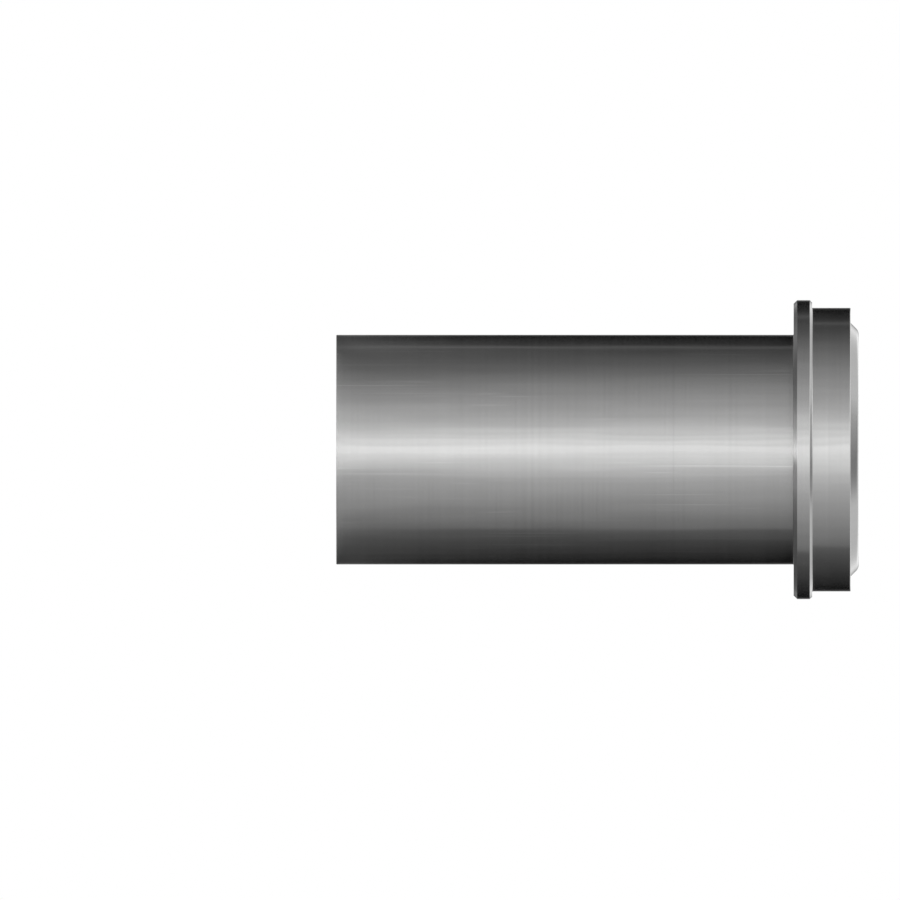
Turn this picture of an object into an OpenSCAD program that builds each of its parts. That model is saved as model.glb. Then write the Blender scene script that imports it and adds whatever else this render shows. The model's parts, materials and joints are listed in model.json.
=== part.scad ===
// Socket weld gland for a metal gasket face seal fitting, turned in one piece from bar.
// A tube is pushed into the socket at the low end and welded round its edge. A nut slides
// over the body and bears on the back of the collar, and so draws the round bead on the
// head's face into a flat metal gasket. The flow bore is as wide as the tube's own bore.
// The origin is the centre of the socket end face, and +Z runs along the axis to the bead.

/* [Tube] */
// Outside diameter of the tube that is welded in
tube_od = 12.7; // [10:0.1:16]
// Wall of that tube, which sets the flow bore
tube_wall = 0.85; // [0.5:0.05:2]

/* [Socket] */
// Gap between the tube and the socket, all round
socket_gap = 0.05; // [0.02:0.01:0.2]
// Depth of the socket, from the end face to the shoulder that stops the tube
socket_depth = 7.45; // [4:0.05:16]
// Wall round the socket, which sets the body's outside
socket_wall = 1.05; // [0.7:0.05:2]

/* [Body] */
// Overall length, from the socket end face to the crest of the bead
overall_len = 33.9; // [24:0.1:70]

/* [Head] */
// Length of the head, from the collar's back face to the flat front face
head_len = 3.7; // [2.5:0.1:6]
// Radial height of the collar over the body
collar_rise = 2.25; // [1.6:0.05:4]
// Width of the collar along the axis
collar_w = 1.2; // [0.8:0.05:2]
// Chamfer on the collar's back edge, where the nut bears
collar_back_chamfer = 0.23; // [0.05:0.01:0.35]
// Chamfer on the collar's front edge
collar_front_chamfer = 0.15; // [0.05:0.01:0.35]
// Radial step from the collar down to the land, where a gasket retainer clips on
land_step = 0.5; // [0.2:0.05:0.8]

/* [Seal bead] */
// Distance from the land's edge in to the crest of the bead
bead_inset = 1.7; // [1.1:0.05:2]
// Height of the crest over the flat front face
bead_height = 0.52; // [0.4:0.02:0.8]
// Radius of the bead's round crest
bead_r = 0.5; // [0.3:0.02:0.6]
// Slope of the bead's flanks from the front face, in degrees
bead_slope = 45; // [35:1:60]

/* [Mouth] */
// Slope of the countersunk mouth from the front face, in degrees
mouth_slope = 30; // [15:1:60]

/* [Hidden] */
turn_fn = 240;
crest_fn = 96;
// How far a cut runs past the face that it opens
cut_over = 0.5;
// How deep the bead's section is rooted in the head
bead_root = 0.3;
// How far one outline runs into the next, so that they merge with no sliver between them
merge = 0.0001;

socket_r = tube_od / 2 + socket_gap;
bore_r = tube_od / 2 - tube_wall;
body_r = socket_r + socket_wall;
collar_r = body_r + collar_rise;
land_r = collar_r - land_step;
crest_r = land_r - bead_inset;

// Heights of the head's faces
front_z = overall_len - bead_height;
collar_z = front_z - head_len;
land_z = collar_z + collar_w;

// The bead's straight flanks touch its round crest here, from the crest's line and the face
touch_out = (bead_r - merge) * sin(bead_slope);
touch_up = bead_height - bead_r + (bead_r - merge) * cos(bead_slope);
foot_out = touch_out + touch_up / tan(bead_slope);
root_out = foot_out + bead_root / tan(bead_slope);

// The mouth opens from the flow bore up to the inner foot of the bead
mouth_r = crest_r - foot_out + merge;
mouth_z = front_z - (mouth_r - bore_r) * tan(mouth_slope);

// Outside of the blank, from the socket end up to the flat front face
module turned_outline() {
    polygon([
        [0, 0],
        [body_r, 0],
        [body_r, collar_z],
        [collar_r - collar_back_chamfer, collar_z],
        [collar_r, collar_z + collar_back_chamfer],
        [collar_r, land_z - collar_front_chamfer],
        [collar_r - collar_front_chamfer, land_z],
        [land_r, land_z],
        [land_r, front_z],
        [0, front_z]
    ]);
}

// Everything bored away: the socket with its shoulder, the flow bore and the mouth
module bored_outline() {
    polygon([
        [0, -cut_over],
        [socket_r, -cut_over],
        [socket_r, socket_depth],
        [bore_r, socket_depth],
        [bore_r, mouth_z],
        [mouth_r + cut_over / tan(mouth_slope), front_z + cut_over],
        [0, front_z + cut_over]
    ]);
}

// Section of the seal bead about its crest's line: two flanks rooted in the head and a
// round crest that they touch
module bead_outline() {
    polygon([
        [-root_out, -bead_root],
        [root_out, -bead_root],
        [touch_out, touch_up],
        [-touch_out, touch_up]
    ]);
    translate([0, bead_height - bead_r])
        circle(r = bead_r, $fn = crest_fn);
}

// The whole gland is one turned piece
module gland() {
    color("silver")
        rotate_extrude($fn = turn_fn) {
            difference() {
                turned_outline();
                bored_outline();
            }
            translate([crest_r, front_z])
                bead_outline();
        }
}

gland();
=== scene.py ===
import json

import bpy
import numpy as np
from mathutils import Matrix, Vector


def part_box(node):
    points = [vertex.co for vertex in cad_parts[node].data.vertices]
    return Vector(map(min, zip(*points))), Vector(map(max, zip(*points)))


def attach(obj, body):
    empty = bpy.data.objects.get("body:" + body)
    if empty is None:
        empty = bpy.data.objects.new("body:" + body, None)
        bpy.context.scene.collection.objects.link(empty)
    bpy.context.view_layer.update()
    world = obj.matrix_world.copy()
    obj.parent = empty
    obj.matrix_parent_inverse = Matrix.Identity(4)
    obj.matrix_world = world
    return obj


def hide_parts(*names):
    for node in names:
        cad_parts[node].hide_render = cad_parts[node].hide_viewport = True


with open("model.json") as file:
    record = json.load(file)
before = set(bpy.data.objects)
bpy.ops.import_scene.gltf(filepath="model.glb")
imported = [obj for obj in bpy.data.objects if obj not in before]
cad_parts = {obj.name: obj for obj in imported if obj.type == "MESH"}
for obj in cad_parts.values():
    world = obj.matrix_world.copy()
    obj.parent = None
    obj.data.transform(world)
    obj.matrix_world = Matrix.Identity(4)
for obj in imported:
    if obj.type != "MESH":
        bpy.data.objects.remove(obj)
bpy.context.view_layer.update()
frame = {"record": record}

# The camera
# The drawing looks straight at the side of the gland, with no perspective. The gland stands
# on its socket end, and the drawing lays it down with the socket at the left, so the camera
# is rolled a quarter turn: its right is the gland's +Z and its up is -X.
METRES_PER_PIXEL = 0.0649e-3
PICTURE_SIDE = 900
SOCKET_END_COLUMN = 336.3
AXIS_ROW = 449.65
CAMERA_DISTANCE = 0.2

camera_data = bpy.data.cameras.new("camera")
camera_data.type = "ORTHO"
camera_data.ortho_scale = PICTURE_SIDE * METRES_PER_PIXEL
camera_data.clip_start = 0.001
camera_data.clip_end = 4.0
camera = bpy.data.objects.new("camera", camera_data)
camera.location = (
    (PICTURE_SIDE / 2 - AXIS_ROW) * METRES_PER_PIXEL,
    -CAMERA_DISTANCE,
    (PICTURE_SIDE / 2 - SOCKET_END_COLUMN) * METRES_PER_PIXEL,
)
camera.rotation_euler = (np.radians(90), np.radians(-90), 0)
bpy.context.scene.collection.objects.link(camera)
bpy.context.scene.camera = camera

# The gland
# One piece of stainless steel, turned and bored from bar, with every edge lightly broken.
# A nut bears behind its collar, and the round bead on its face is the seal. The bead and the
# mouth are polished bright and the bores satin, and the rest keeps its fine turning marks.
mounts = {mount["name"]: mount for mount in frame["record"]["mounts"]}
box_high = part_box("gland")[1]


def mount_size(name, size):
    """A mount's radius or length from the frame's record, in metres."""
    return mounts[name]["dims"][size] / 1000


SOCKET_R = mount_size("tube_socket", "r_mm")
SOCKET_DEPTH = mount_size("tube_socket", "length_mm")
BODY_R = mount_size("nut_guide", "r_mm")
COLLAR_Z = mount_size("nut_guide", "length_mm")
LAND_R = mount_size("gasket_retainer_land", "r_mm")
LAND_LENGTH = mount_size("gasket_retainer_land", "length_mm")
FRONT_Z = mounts["gasket_retainer_land"]["pos_m"][2] + LAND_LENGTH / 2
LAND_Z = FRONT_Z - LAND_LENGTH
COLLAR_R = box_high.x
BEAD_HEIGHT = box_high.z - FRONT_Z
FLOW_BORE_R = 5.5e-3
COLLAR_BACK_CHAMFER = 0.23e-3
COLLAR_FRONT_CHAMFER = 0.15e-3
CREST_R = 7.5e-3
CREST_ROUND = 0.5e-3
BEAD_SLOPE = np.radians(45)
MOUTH_SLOPE = np.radians(30)
BROKEN_EDGE = 0.06e-3
FINE_EDGE = 0.04e-3
TOOL_NOSE = 0.05e-3
ROUND_STEPS = 12
TURN_STEPS = 288

# The bead's flanks would meet in a point this high over the face, and as far out from the
# crest's line at 45 degrees. Rounding that point by CREST_ROUND gives the bead its height.
bead_point = BEAD_HEIGHT + CREST_ROUND * (1 / np.cos(BEAD_SLOPE) - 1)
bead_foot = bead_point / np.tan(BEAD_SLOPE)
mouth_r = CREST_R - bead_foot
mouth_z = FRONT_Z - (mouth_r - FLOW_BORE_R) * np.tan(MOUTH_SLOPE)

# Corners of the section, up the outside and down the inside: radius, height and rounding
section_corners = np.array([
    (BODY_R, 0, BROKEN_EDGE),
    (BODY_R, COLLAR_Z, TOOL_NOSE),
    (COLLAR_R - COLLAR_BACK_CHAMFER, COLLAR_Z, FINE_EDGE),
    (COLLAR_R, COLLAR_Z + COLLAR_BACK_CHAMFER, FINE_EDGE),
    (COLLAR_R, LAND_Z - COLLAR_FRONT_CHAMFER, FINE_EDGE),
    (COLLAR_R - COLLAR_FRONT_CHAMFER, LAND_Z, FINE_EDGE),
    (LAND_R, LAND_Z, TOOL_NOSE),
    (LAND_R, FRONT_Z, BROKEN_EDGE),
    (CREST_R + bead_foot, FRONT_Z, TOOL_NOSE),
    (CREST_R, FRONT_Z + bead_point, CREST_ROUND),
    (mouth_r, FRONT_Z, TOOL_NOSE),
    (FLOW_BORE_R, mouth_z, FINE_EDGE),
    (FLOW_BORE_R, SOCKET_DEPTH, FINE_EDGE),
    (SOCKET_R, SOCKET_DEPTH, TOOL_NOSE),
    (SOCKET_R, 0, BROKEN_EDGE),
])


def rounded_section(corners, steps):
    """The closed outline through the corners, each rounded by an arc that touches both of
    its sides, with its outward normals. At a corner where the outline turns by t, the arc
    of radius r starts r tan(t / 2) before it, and the normals on it turn evenly by t."""
    place, rounding = corners[:, :2], corners[:, 2:]
    way_in = place - np.roll(place, 1, axis=0)
    way_in /= np.linalg.norm(way_in, axis=1, keepdims=True)
    way_out = np.roll(way_in, -1, axis=0)
    turn = np.arctan2(
        way_in[:, 0] * way_out[:, 1] - way_in[:, 1] * way_out[:, 0],
        (way_in * way_out).sum(axis=1),
    )[:, None]
    start = place - way_in * rounding * np.tan(np.abs(turn) / 2)
    normal_in = np.stack([way_in[:, 1], -way_in[:, 0]], axis=1)
    bulge = np.sign(turn) * rounding
    centre = start - normal_in * bulge
    angle = np.arctan2(normal_in[:, 1], normal_in[:, 0])[:, None]
    angle = angle + turn * np.linspace(0, 1, steps + 1)
    normals = np.stack([np.cos(angle), np.sin(angle)], axis=2)
    points = centre[:, None] + normals * bulge[:, None]
    return points.reshape(-1, 2), normals.reshape(-1, 2)


def turned(name, outline, normals, steps):
    """A closed outline turned about Z: x = r cos a, y = r sin a, z = z, with a over a full
    turn. The map runs round the axis one way and along the outline the other."""
    count = len(outline)
    angle = np.arange(steps) * 2 * np.pi / steps
    spin = np.stack([np.cos(angle), np.sin(angle)], axis=1)[:, None, :]

    def spun(pairs):
        """Every pair of radius and height at every angle, as x, y and z."""
        heights = np.broadcast_to(pairs[:, 1:], (steps, count, 1))
        return np.concatenate([pairs[None, :, :1] * spin, heights], axis=2).reshape(-1, 3)

    a, s = np.meshgrid(np.arange(steps), np.arange(count), indexing="ij")
    a_next, s_next = (a + 1) % steps, (s + 1) % count
    quads = np.stack(
        [a * count + s, a_next * count + s, a_next * count + s_next, a * count + s_next], axis=2)
    mesh = bpy.data.meshes.new(name)
    mesh.from_pydata(spun(outline), [], quads.reshape(-1, 4).tolist())
    mesh.shade_smooth()
    mesh.normals_split_custom_set_from_vertices(spun(normals).tolist())

    along = np.linalg.norm(np.roll(outline, -1, axis=0) - outline, axis=1)
    along = np.concatenate([[0], np.cumsum(along)]) / along.sum()
    across = np.arange(steps + 1) / steps
    corners = np.stack([
        np.stack([across[a], along[s]], axis=2),
        np.stack([across[a + 1], along[s]], axis=2),
        np.stack([across[a + 1], along[s + 1]], axis=2),
        np.stack([across[a], along[s + 1]], axis=2),
    ], axis=2)
    mesh.uv_layers.new(name="OFBake").data.foreach_set("uv", corners.ravel().astype(np.float32))
    piece = bpy.data.objects.new(name, mesh)
    bpy.context.scene.collection.objects.link(piece)
    return piece


section, section_normals = rounded_section(section_corners, ROUND_STEPS)
gland = turned("turned_gland", section, section_normals, TURN_STEPS)


class Shade:
    """An output of a shader tree, as a value: arithmetic on it adds Math nodes."""

    def __init__(self, tree, socket=None):
        self.tree, self.socket = tree, socket

    def node(self, kind, settings=None, sockets=None, out=0):
        """A new node: its type, its settings, its sockets' values or links, and which output."""
        node = self.tree.nodes.new(kind)
        for name, value in (settings or {}).items():
            setattr(node, name, value)
        for name, value in (sockets or {}).items():
            if isinstance(value, Shade):
                self.tree.links.new(value.socket, node.inputs[name])
            else:
                node.inputs[name].default_value = value
        return Shade(self.tree, node.outputs[out] if node.outputs else None)

    def math(self, operation, *values):
        """A Math node over the values."""
        return self.node("ShaderNodeMath", {"operation": operation}, dict(enumerate(values)))

    def __add__(self, other):
        return self.math("ADD", self, other)

    def __radd__(self, other):
        return self.math("ADD", other, self)

    def __sub__(self, other):
        return self.math("SUBTRACT", self, other)

    def __rsub__(self, other):
        return self.math("SUBTRACT", other, self)

    def __mul__(self, other):
        return self.math("MULTIPLY", self, other)

    def __rmul__(self, other):
        return self.math("MULTIPLY", other, self)

    def __truediv__(self, other):
        return self.math("DIVIDE", self, other)

    def __rtruediv__(self, other):
        return self.math("DIVIDE", other, self)

    def step(self, low, high):
        """0 below low, 1 above high and smooth between."""
        return self.node(
            "ShaderNodeMapRange", {"interpolation_type": "SMOOTHSTEP"},
            {"Value": self, "From Min": low, "From Max": high})

    def vector(self, x, y, z):
        """The three values as one vector."""
        return self.node("ShaderNodeCombineXYZ", sockets={0: x, 1: y, 2: z})

    def parts(self):
        """This vector's x, y and z."""
        split = self.node("ShaderNodeSeparateXYZ", sockets={0: self}).socket.node
        return [Shade(self.tree, output) for output in split.outputs]

    def noise(self, detail, roughness, scale=1.0):
        """Noise over this vector, evenly about 0, with scale features a unit."""
        return self.node("ShaderNodeTexNoise", sockets={
            "Vector": self, "Scale": scale, "Detail": detail, "Roughness": roughness}) - 0.5


def from_axis(x, y):
    """The distance of (x, y) from the gland's axis, the root of x^2 + y^2."""
    return x.math("SQRT", x * x + y * y)


def empty_material(name):
    """A material with no nodes but its output, and a Shade to add them with."""
    material = bpy.data.materials.new(name)
    material.use_nodes = True
    material.node_tree.nodes.clear()
    return material, Shade(material.node_tree)


def surface(shade, shader):
    """Links a shader to the output of its tree."""
    shade.node("ShaderNodeOutputMaterial", sockets={"Surface": shader})


# The steel's finish. The blends between one finish and the next are in millimetres, the
# waves across and along the gland are counted a millimetre, and they are this many
# micrometres high.
MM = 1000
MICROMETRE = 1.0e-6
STEEL_TONE = 0.62
STEEL_BLUE = 0.995
TURNED_ROUGHNESS = 0.18
POLISHED_ROUGHNESS = 0.13
SATIN_ROUGHNESS = 0.30
MARKS_POLISHED_OFF = 0.8
GRAIN_OUTSIDE = 0.4
WAVES_ACROSS = 0.3
WAVES_ALONG = 0.05
WAVE_HEIGHT = 90.0
MASK_BLEND = 0.04
MOUTH_BLEND = 0.1
COLLAR_BLEND = 0.2


def turned_steel():
    """Stainless steel off the lathe. The feed, the passes and a few scores are noise over the
    radius and the height, so they run round the axis. The grain, the lines and the slivers
    are noise over the angle, so they run along it. The scores, lines and slivers are only
    the peaks of their noise. Very slow waves bend the reflections. The smoothed mask is 1
    in the bores, in the mouth and on the bead, which have lost most of their turning marks:
    the bores are satin, and the others polished."""
    material, shade = empty_material("turned_stainless_steel")
    place = shade.node("ShaderNodeTexCoord", out="Object")
    x, y, z = (part * MM for part in place.parts())
    r = from_axis(x, y)
    round_x, round_y = x / r, y / r

    def turning(per_mm, sway, detail):
        """Noise with per_mm features a millimetre up the section, and sway of them a radian
        round it."""
        way = shade.vector(r * per_mm + round_x * sway, round_y * sway, z * per_mm)
        return way.noise(detail, roughness=0.6)

    def drawn(per_radian, per_mm, detail):
        """Noise with per_radian features a radian round the axis, and per_mm along it."""
        way = shade.vector(round_x * per_radian, round_y * per_radian, z * per_mm)
        return way.noise(detail, roughness=0.55)

    socket_edge = SOCKET_R * MM + MASK_BLEND / 2
    bead_edge = (CREST_R + bead_foot) * MM
    up_to_mouth = z.step(mouth_z * MM - MOUTH_BLEND, mouth_z * MM)
    in_bores = (1 - r.step(socket_edge, socket_edge + MASK_BLEND)) * (1 - up_to_mouth)
    mouth_and_bead = (1 - r.step(bead_edge, bead_edge + MASK_BLEND)) * up_to_mouth
    smoothed = in_bores.math("MAXIMUM", in_bores, mouth_and_bead)
    marks_left = 1 - smoothed * MARKS_POLISHED_OFF
    grain_left = GRAIN_OUTSIDE + in_bores * (1 - GRAIN_OUTSIDE)
    below_collar = 1 - z.step(COLLAR_Z * MM - COLLAR_BLEND, COLLAR_Z * MM)
    below_face = 1 - z.step(LAND_Z * MM, FRONT_Z * MM)

    feed = turning(per_mm=4.6, sway=0.12, detail=2.0) * marks_left
    passes = turning(per_mm=0.55, sway=0.15, detail=2.0) * marks_left
    scores = turning(per_mm=5.5, sway=0.8, detail=0.0).step(0.14, 0.3) * marks_left
    grain = drawn(per_radian=30.0, per_mm=0.05, detail=4.0) * grain_left
    lines = drawn(per_radian=60.0, per_mm=0.05, detail=1.0).step(0.16, 0.3) * below_collar
    slivers = drawn(per_radian=38.0, per_mm=0.16, detail=1.0).step(0.18, 0.34) * below_collar
    cloud = place.noise(detail=3.0, roughness=0.55, scale=220.0)
    waves = shade.vector(x * WAVES_ACROSS, y * WAVES_ACROSS, z * WAVES_ALONG)
    waves = waves.noise(detail=2.0, roughness=0.5) * below_face

    # How much each mark shows in the tone, in the roughness and, in micrometres, in the height
    tone = (STEEL_TONE + feed * 0.05 + passes * 0.04 - scores * 0.02
            + grain * 0.09 + lines * 0.12 + slivers * 0.09 + cloud * 0.03)
    finish = (TURNED_ROUGHNESS + smoothed * (POLISHED_ROUGHNESS - TURNED_ROUGHNESS)
              + in_bores * (SATIN_ROUGHNESS - POLISHED_ROUGHNESS))
    roughness = (finish + feed * 0.02 + passes * 0.02 + scores * 0.01
                 + grain * 0.04 + cloud * 0.02)
    height = feed * 0.4 + passes * 0.5 - scores * 0.15 + grain * 0.5 + waves * WAVE_HEIGHT

    colour = shade.node("ShaderNodeCombineColor", sockets={0: tone, 1: tone, 2: tone * STEEL_BLUE})
    bump = shade.node("ShaderNodeBump", sockets={
        "Height": height, "Strength": 1.0, "Distance": MICROMETRE})
    steel = shade.node("ShaderNodeBsdfPrincipled", sockets={
        "Base Color": colour, "Metallic": 1.0, "Roughness": roughness,
        "Anisotropic": 0.9, "Anisotropic Rotation": 0.25, "Normal": bump})
    surface(shade, steel)
    return material


gland.data.materials.append(turned_steel())
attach(gland, "root")
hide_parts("gland")


# The studio
# A plain pale floor in a room that the camera sees as plain white. The steel mirrors a softly
# lit one, bright in front and overhead and dark at its sides, which draws its edges. To the
# steel, the floor shows light and shade painted into its colour and glow. The key lamp lights
# the floor alone, and lays the gland's shadow on it.
FLOOR_RADIUS = 0.6
FLOOR_SIDES = 96
FLOOR_TONE = 0.86
FLOOR_SHADE = 0.12
WHITE_AT_FOOT = 0.4
KEY_PLACE = Vector((-0.22, -0.28, 0.45))
KEY_POWER = 0.75
FRONT_LEVEL = 0.6
CORE_LEVEL = 0.5
CORE_STREAKS = 1.2
DARKER_SIDE_SHADE = 0.3
CEILING_LEVEL = 0.7
CEILING_MIDDLE_SHADE = 0.45
SOFTBOX_LEVEL = 0.6


def round_room(x, y, towards):
    """The cosine of the angle round the room between (x, y) and an azimuth in degrees, where
    0 is the camera's side, -Y, and 90 is +X."""
    way_x, way_y = np.sin(np.radians(towards)), -np.cos(np.radians(towards))
    return (x * way_x + y * way_y) / from_axis(x, y)


def lobe(c, power):
    """A light over half of the room, c being the cosine from its middle:
    ((1 + c) / 2) ^ power."""
    return c.math("POWER", (1 + c) * 0.5, power)


def patch(x, y, azimuth, sharpness, level):
    """A soft patch at an azimuth of the room, c being the cosine from its middle: level times
    e to the power of sharpness times (c - 1)."""
    c = round_room(x, y, azimuth)
    return c.math("EXPONENT", (c - 1) * sharpness) * level


def room_light(x, y):
    """The light round the room. A broad lobe in front has a brighter core, which is streaked
    from side to side. It is darker at +X, beyond a clear edge, with a thin slit of light
    behind at -X and a soft strip behind. The world shines with this light, and the floor has
    it painted in for the steel."""
    front = round_room(x, y, 0)
    side = round_room(x, y, 90)
    streaks = front.vector(side, front, 0.0).noise(detail=2.0, roughness=0.6, scale=26.0)
    broad = lobe(front, 1.8) * FRONT_LEVEL
    core = patch(x, y, azimuth=0, sharpness=13.6, level=CORE_LEVEL + streaks * CORE_STREAKS)
    # The room's light is darker at +X beyond a clear edge; where the floor shows it, this is
    # painted shade
    screen = (1 - front.step(0.02, 0.1)) * side.step(0.0, 0.1)
    slit = patch(x, y, azimuth=234, sharpness=600.0, level=0.06)
    strip = patch(x, y, azimuth=180, sharpness=60.0, level=0.3)
    return (broad + core) * (1 - screen * DARKER_SIDE_SHADE) + slit + strip


def painted_floor_light(x, y, away):
    """Light and shade painted into the floor's colour by the gland, which only the steel sees.
    In front it is a painted copy of the room's light times ((1 + c) / 2) ^ 2, with a painted
    bright middle and a painted shade a little towards +X. Behind are narrower painted bright
    patches, which start a little way off from the gland's foot."""
    # Painted light in the floor's colour in front of the gland
    in_front = (room_light(x, y) * lobe(round_room(x, y, 0), 2.0)
                + patch(x, y, azimuth=0, sharpness=90.0, level=0.35))
    # Painted shade in the floor's colour a little towards +X, which no object casts
    painted_shade = patch(x, y, azimuth=24, sharpness=25.0, level=0.35)
    # Painted bright patches in the floor's colour behind the gland, faded out near its foot
    behind = (patch(x, y, azimuth=182, sharpness=20.0, level=0.55)
              + patch(x, y, azimuth=188, sharpness=150.0, level=0.2)
              + patch(x, y, azimuth=240, sharpness=20.0, level=0.16))
    return FLOOR_SHADE + in_front * (1 - painted_shade) + behind * away.step(0.012, 0.035)


def studio_world():
    """The room: white to the camera, and softly lit to everything else. Its light turns into
    the ceiling's with height, and the ceiling is darker in its middle. A wide light stands
    high behind, and a softbox hangs where the key lamp does."""
    world = bpy.data.worlds.new("studio")
    world.use_nodes = True
    world.node_tree.nodes.clear()
    shade = Shade(world.node_tree)
    way = shade.node("ShaderNodeTexCoord", out="Generated")
    x, y, z = way.parts()
    overhead = z.step(0.2, 0.8)
    behind = patch(x, y, azimuth=180, sharpness=3.0, level=1.2) * z.step(0.02, 0.35)
    ceiling = CEILING_LEVEL - z.step(0.88, 1.0) * CEILING_MIDDLE_SHADE
    softbox = way.node("ShaderNodeVectorMath", {"operation": "DOT_PRODUCT"}, {
        0: way, 1: KEY_PLACE.normalized()}, out="Value").step(0.75, 1.0) * SOFTBOX_LEVEL
    level = (room_light(x, y) + behind) * (1 - overhead) + overhead * ceiling + softbox
    to_camera = shade.node("ShaderNodeLightPath", out="Is Camera Ray")
    lit = shade.node("ShaderNodeBackground", sockets={"Color": (1, 1, 1, 1), "Strength": level})
    white = shade.node("ShaderNodeBackground", sockets={"Color": (1, 1, 1, 1), "Strength": 1.0})
    both = shade.node("ShaderNodeMixShader", sockets={0: to_camera, 1: lit, 2: white})
    shade.node("ShaderNodeOutputWorld", sockets={"Surface": both})
    bpy.context.scene.world = world


def floor_material():
    """Pale matt floor, whose colour to the steel is light and shade painted in by the gland. Away
    from the gland it turns into plain white to the camera, and to the steel it glows with a
    painted copy of the room's light."""
    material, shade = empty_material("pale_floor")
    x, y, _ = shade.node("ShaderNodeTexCoord", out="Object").parts()
    away = from_axis(x, y)
    to_steel = shade.node("ShaderNodeLightPath", out="Is Glossy Ray")
    to_camera = shade.node("ShaderNodeLightPath", out="Is Camera Ray")
    # To the steel the floor's colour is painted light and shade; to everything else it is plain
    # pale
    tone = (1 - to_steel) * FLOOR_TONE + to_steel * painted_floor_light(x, y, away)
    colour = shade.node("ShaderNodeCombineColor", sockets={0: tone, 1: tone, 2: tone})
    matt = shade.node("ShaderNodeBsdfDiffuse", sockets={"Color": colour})
    # The floor glows: plain white to the camera, and to the steel a painted copy of the room's
    # light
    far_light = shade.node("ShaderNodeEmission", sockets={
        "Strength": to_camera + to_steel * room_light(x, y)})
    white = WHITE_AT_FOOT + away.step(0.022, 0.055) * (1 - WHITE_AT_FOOT)
    far = white * to_camera + away.step(0.1, 0.24) * to_steel
    surface(shade, shade.node("ShaderNodeMixShader", sockets={0: far, 1: matt, 2: far_light}))
    return material


floor_angle = np.linspace(0, 2 * np.pi, FLOOR_SIDES + 1)[:-1]
floor_rim = np.stack(
    [np.cos(floor_angle), np.sin(floor_angle), np.zeros(FLOOR_SIDES)], axis=1) * FLOOR_RADIUS
floor_mesh = bpy.data.meshes.new("floor")
floor_mesh.from_pydata(floor_rim, [], [list(range(FLOOR_SIDES))])
floor = bpy.data.objects.new("floor", floor_mesh)
floor.data.materials.append(floor_material())
bpy.context.scene.collection.objects.link(floor)
studio_world()

key_data = bpy.data.lights.new("key_light", "AREA")
key_data.shape = "RECTANGLE"
key_data.size, key_data.size_y = 0.5, 0.4
key_data.energy = KEY_POWER
key = bpy.data.objects.new("key_light", key_data)
key.location = KEY_PLACE
key.rotation_euler = KEY_PLACE.to_track_quat("Z", "Y").to_euler()
key.visible_glossy = False
bpy.context.scene.collection.objects.link(key)

bpy.context.scene.view_settings.view_transform = "Standard"
